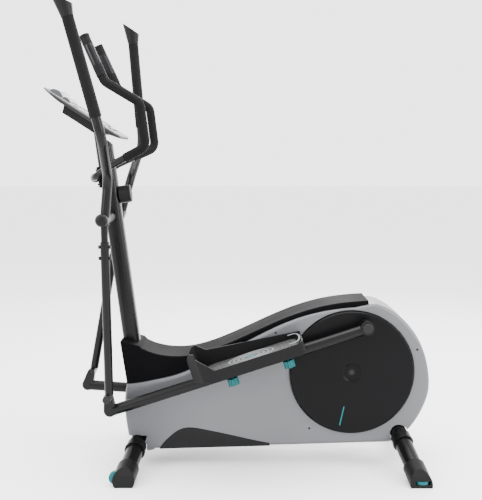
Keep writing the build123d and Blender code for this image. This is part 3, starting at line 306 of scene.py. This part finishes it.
def rod(points, radius, count=14, flat=1.0):
    """A bar with domed ends along points. flat squashes it upwards."""
    verts, faces, rows = [], [], []
    first, last = points[0], points[-1]
    d0, d1 = (points[1] - points[0]).normalized(), (points[-1] - points[-2]).normalized()
    stations = [(first - d0 * radius * 0.8, 0.25), (first - d0 * radius * 0.5, 0.75)]
    stations += [(p, 1.0) for p in points]
    stations += [(last + d1 * radius * 0.5, 0.75), (last + d1 * radius * 0.8, 0.25)]
    for i, (p, k) in enumerate(stations):
        a, b = stations[max(i - 1, 0)][0], stations[min(i + 1, len(stations) - 1)][0]
        d = (b - a).normalized()
        u = Vector((0, 0, 1)) if abs(d.z) < 0.9 else Vector((1, 0, 0))
        s = d.cross(u).normalized()
        u = s.cross(d).normalized()
        for j in range(count):
            t = 2 * math.pi * j / count
            verts.append(p + (s * math.cos(t) + u * math.sin(t) * flat) * radius * k)
    m = len(stations)
    for i in range(m - 1):
        for j in range(count):
            faces.append((i * count + j, i * count + (j + 1) % count, (i + 1) * count + (j + 1) % count, (i + 1) * count + j))
    faces.append(tuple(range(count)))
    faces.append(tuple((m - 1) * count + j for j in range(count)))
    return verts, faces


# ------------------------------------------------------------------ pedals
SLOPE = math.radians(18.1)
PED_MID = Vector((0.001, -0.195, 0.407))
PIVOT = Vector((-0.4534, 0, 0.8798))
JOINT = Vector((-0.4511, 0, 0.2688))


def spin(v, centre, degrees):
    a = math.radians(degrees)
    d = v - centre
    return Vector((centre.x + d.x * math.cos(a) + d.z * math.sin(a), v.y, centre.z - d.x * math.sin(a) + d.z * math.cos(a)))


JOINT_R = spin(JOINT, PIVOT, 10.47)


def left_pedal(v):
    """Pedal coordinates (x to the heel, y inwards, z up from the floor of the tray) to the row frame."""
    way, up = Vector((math.cos(SLOPE), 0, math.sin(SLOPE))), Vector((-math.sin(SLOPE), 0, math.cos(SLOPE)))
    return PED_MID + way * v.x + Vector((0, v.y, 0)) + up * v.z


def right_pedal(v):
    w = left_pedal(v)
    w = spin(Vector((w.x, -w.y, w.z)), JOINT, 22.04)
    return w + (JOINT_R - JOINT)


TREAD = 0.0022
for side, shift in (("left", left_pedal), ("right", right_pedal)):
    body = side + "_pedal_link"
    mat_outline = rounded(-0.118, 0.200, -0.068, 0.060, 0.030, 8)
    v, f = slab(mat_outline, -0.0002, TREAD)
    piece(side + "_tread_mat", v, f, tread_rubber, body, shift=shift)
    for k, (a, b) in enumerate(((0.030, 0.022), (0.046, 0.034), (0.062, 0.046), (0.078, 0.057))):
        v, f = ring(a, b, 0.0030, 0.0016, TREAD, 0.040, -0.004)
        piece("%s_tread_oval_%d" % (side, k + 1), v, f, tread_grey, body, shift=shift)
    oval = [(0.040 + 0.017 * math.cos(2 * math.pi * i / 48), -0.004 + 0.011 * math.sin(2 * math.pi * i / 48)) for i in range(48)]
    v, f = slab(oval, TREAD - 0.0002, TREAD + 0.0014, 0.0006)
    piece(side + "_tread_centre", v, f, teal, body, shift=shift)
    for k, x in enumerate((-0.098, -0.084, -0.070, -0.056, 0.136, 0.150, 0.164, 0.178)):
        half = 0.050 if -0.09 < x < 0.17 else 0.040
        pts = [Vector((x, -0.004 - half + 2 * half * i / 12, TREAD)) for i in range(13)]
        pts = [Vector((p.x + (0.006 if x > 0 else -0.006) * (1 - ((p.y + 0.004) / half) ** 2), p.y, p.z)) for p in pts]
        v, f = rod(pts, 0.0021, 10)
        piece("%s_tread_rib_%d" % (side, k + 1), v, f, tread_rubber, body, shift=shift)
    # pale lip round the heel
    arc = []
    for i in range(25):
        t = math.radians(-90 + 180 * i / 24)
        arc.append(Vector((0.178 + 0.036 * abs(math.cos(t)) ** 0.45, 0.069 * math.sin(t), 0.0150)))
    v, f = rod(arc, 0.0030, 12, 0.7)
    piece(side + "_heel_lip", v, f, tread_grey, body, shift=shift)

# ------------------------------------------------------------------ pulse sensor plates on the fixed bars
GRIP_A, GRIP_B, GRIP_R = Vector((-0.447, -0.156, 1.336)), Vector((-0.513, -0.139, 1.482)), 0.0170
way = (GRIP_B - GRIP_A).normalized()
span = (GRIP_B - GRIP_A).length
across = way.cross(Vector((0, 1, 0))).normalized()
beside = across.cross(way).normalized()
for side, sign in (("left", 1), ("right", -1)):
    for face, start in (("front", 20), ("back", 200)):
        verts, faces = [], []
        rows, cols = 14, 22
        for i in range(rows):
            s = 0.055 + 0.080 * i / (rows - 1)
            edge = min(i, rows - 1 - i)
            for j in range(cols):
                t = math.radians(start + 140 * j / (cols - 1))
                rim = min(edge, j, cols - 1 - j)
                r = GRIP_R + (-0.0004 if rim == 0 else 0.0004 if rim == 1 else 0.0006)
                p = GRIP_A + way * s + (across * math.cos(t) + beside * math.sin(t)) * r
                verts.append(Vector((p.x, sign * p.y, p.z)))
        for i in range(rows - 1):
            for j in range(cols - 1):
                faces.append((i * cols + j, i * cols + j + 1, (i + 1) * cols + j + 1, (i + 1) * cols + j))
        inner = len(verts)
        for i in range(rows):
            s = 0.055 + 0.080 * i / (rows - 1)
            for j in range(cols):
                t = math.radians(start + 140 * j / (cols - 1))
                p = GRIP_A + way * s + (across * math.cos(t) + beside * math.sin(t)) * (GRIP_R - 0.0012)
                verts.append(Vector((p.x, sign * p.y, p.z)))
        for i in range(rows - 1):
            for j in range(cols - 1):
                faces.append((inner + i * cols + j, inner + (i + 1) * cols + j, inner + (i + 1) * cols + j + 1, inner + i * cols + j + 1))
        border = [j for j in range(cols)] + [i * cols + cols - 1 for i in range(1, rows)]
        border += [(rows - 1) * cols + j for j in range(cols - 2, -1, -1)] + [i * cols for i in range(rows - 2, 0, -1)]
        for k in range(len(border)):
            a, b = border[k], border[(k + 1) % len(border)]
            faces.append((b, a, inner + a, inner + b))
        piece("%s_sensor_%s" % (side, face), verts, faces, sensor, "frame")

# ------------------------------------------------------------------ crank discs: a teal mark
CRANK = Vector((0.3904, 0, 0.3410))


def on_disc(sign):
    return lambda v: Vector((CRANK.x + v.x, sign * (0.109 + v.z), CRANK.z + v.y))


for side, sign in (("left", -1), ("right", 1)):
    mark = rounded(-0.0022, 0.0022, -0.192, -0.122, 0.0020, 4)
    tilt = math.radians(-12.5 * 1.0)
    mark = [(x * math.cos(tilt) - y * math.sin(tilt), x * math.sin(tilt) + y * math.cos(tilt)) for x, y in mark]
    v, f = slab(mark, -0.0004, 0.0008)
    piece(side + "_disc_mark", v, f, teal, "crankset", shift=on_disc(sign))

# ------------------------------------------------------------------ domed caps over the swing-arm pivots


def dome(radius, height, sunk, count=48, rows=8):
    """A shallow dome with a small step round its foot; z is out from the face it sits on."""
    rings = [(radius, -sunk), (radius, 0.0006), (radius * 0.965, 0.0011)]
    for i in range(1, rows):
        t = math.radians(90 * i / rows)
        rings.append((radius * 0.965 * math.cos(t), 0.0011 + height * math.sin(t)))
    verts = [Vector((r * math.cos(2 * math.pi * j / count), r * math.sin(2 * math.pi * j / count), z))
             for r, z in rings for j in range(count)]
    faces = []
    for i in range(len(rings) - 1):
        for j in range(count):
            faces.append((i * count + j, i * count + (j + 1) % count, (i + 1) * count + (j + 1) % count, (i + 1) * count + j))
    faces.append(tuple(range(count)))
    faces.append(tuple((len(rings) - 1) * count + j for j in range(count)))
    return verts, faces


for side, sign in (("left", -1), ("right", 1)):
    v, f = dome(0.0175, 0.0052, 0.0006)
    piece(side + "_pivot_dome", v, f, cap_plastic, side + "_swing_arm",
          shift=lambda p, sign=sign: Vector((PIVOT.x + p.x, sign * (0.234 + p.z), PIVOT.z + p.y)))

# ------------------------------------------------------------------ console detail
CON_Y = Vector((0, 1, 0))


def on_console(v):
    return CON_MID + CON_D * v.x + CON_Y * v.y + CON_N * v.z


bezel, f = ring(0.0625, 0.0925, 0.0022, 0.0012, 0.0002, 0.020, 0.0, 96, 9.0)
piece("screen_bezel", bezel, f, trim, "frame", shift=on_console)
for k, (x, w) in enumerate(((-0.010, 0.060), (0.020, 0.060), (0.050, 0.060))):
    for j, y in enumerate((-0.040, 0.040)):
        outline = rounded(x - 0.011, x + 0.011, y - w / 2, y + w / 2, 0.003, 4)
        v, f = slab(outline, -0.0002, 0.0003)
        lcd = piece("screen_field_%d%d" % (k + 1, j + 1), v, f, glass, "frame", shift=on_console)
for name, y in (("minus", 0.044), ("start", 0.0), ("plus", -0.044)):
    v, f = ring(0.0128, 0.0128, 0.0014, 0.0008, 0.0001, 0.104, y, 40)
    piece(name + "_button_rim", v, f, trim, "frame", shift=on_console)

# ------------------------------------------------------------------ floor, light and camera
floor_look = Look("floor_pale", (0.86, 0.86, 0.86), (0.84, 0.84, 0.845), scale=2.0, rough=(0.55, 0.65),
                  grain_scale=300, depth=0.00002, strength=0.1, bevel=0.0)
bpy.ops.mesh.primitive_plane_add(size=60, location=(0, 0, -0.0005))
floor = bpy.context.object
floor.name = "studio_floor"
floor.data.materials.append(floor_look.m)

world = bpy.data.worlds.new("studio")
scene.world = world
world.use_nodes = True
world.node_tree.nodes["Background"].inputs[0].default_value = (1.0, 1.0, 1.0, 1)
world.node_tree.nodes["Background"].inputs[1].default_value = 3.4


def area(name, place, target, size, power, shape=None):
    lamp = bpy.data.lights.new(name, "AREA")
    lamp.shape = "RECTANGLE"
    lamp.size, lamp.size_y = size
    lamp.energy = power
    o = bpy.data.objects.new(name, lamp)
    scene.collection.objects.link(o)
    o.location = place
    o.rotation_euler = (Vector(target) - Vector(place)).to_track_quat("-Z", "Y").to_euler()
    return o


area("light_top", (0.1, -0.4, 3.6), (0.1, 0, 0.4), (3.2, 2.4), 190)
area("light_left", (-2.6, -2.2, 2.0), (0, 0, 0.7), (1.2, 2.4), 90)
area("light_right", (2.8, -1.8, 1.9), (0.1, 0, 0.6), (1.0, 2.2), 110)
area("light_rim", (3.2, 1.2, 1.3), (-0.45, 0, 0.9), (0.5, 2.2), 60)
area("light_back", (0.6, 2.8, 2.4), (0, 0, 0.6), (2.4, 1.6), 110)

lens = bpy.data.cameras.new("camera")
lens.lens, lens.sensor_width = 62.58, 36.0
lens.clip_start, lens.clip_end = 0.05, 200
camera = bpy.data.objects.new("camera", lens)
scene.collection.objects.link(camera)
camera.location = (0.013, -3.0703, 1.0866)
camera.rotation_euler = (math.radians(90 - 6.085), 0, 0.003)
scene.camera = camera
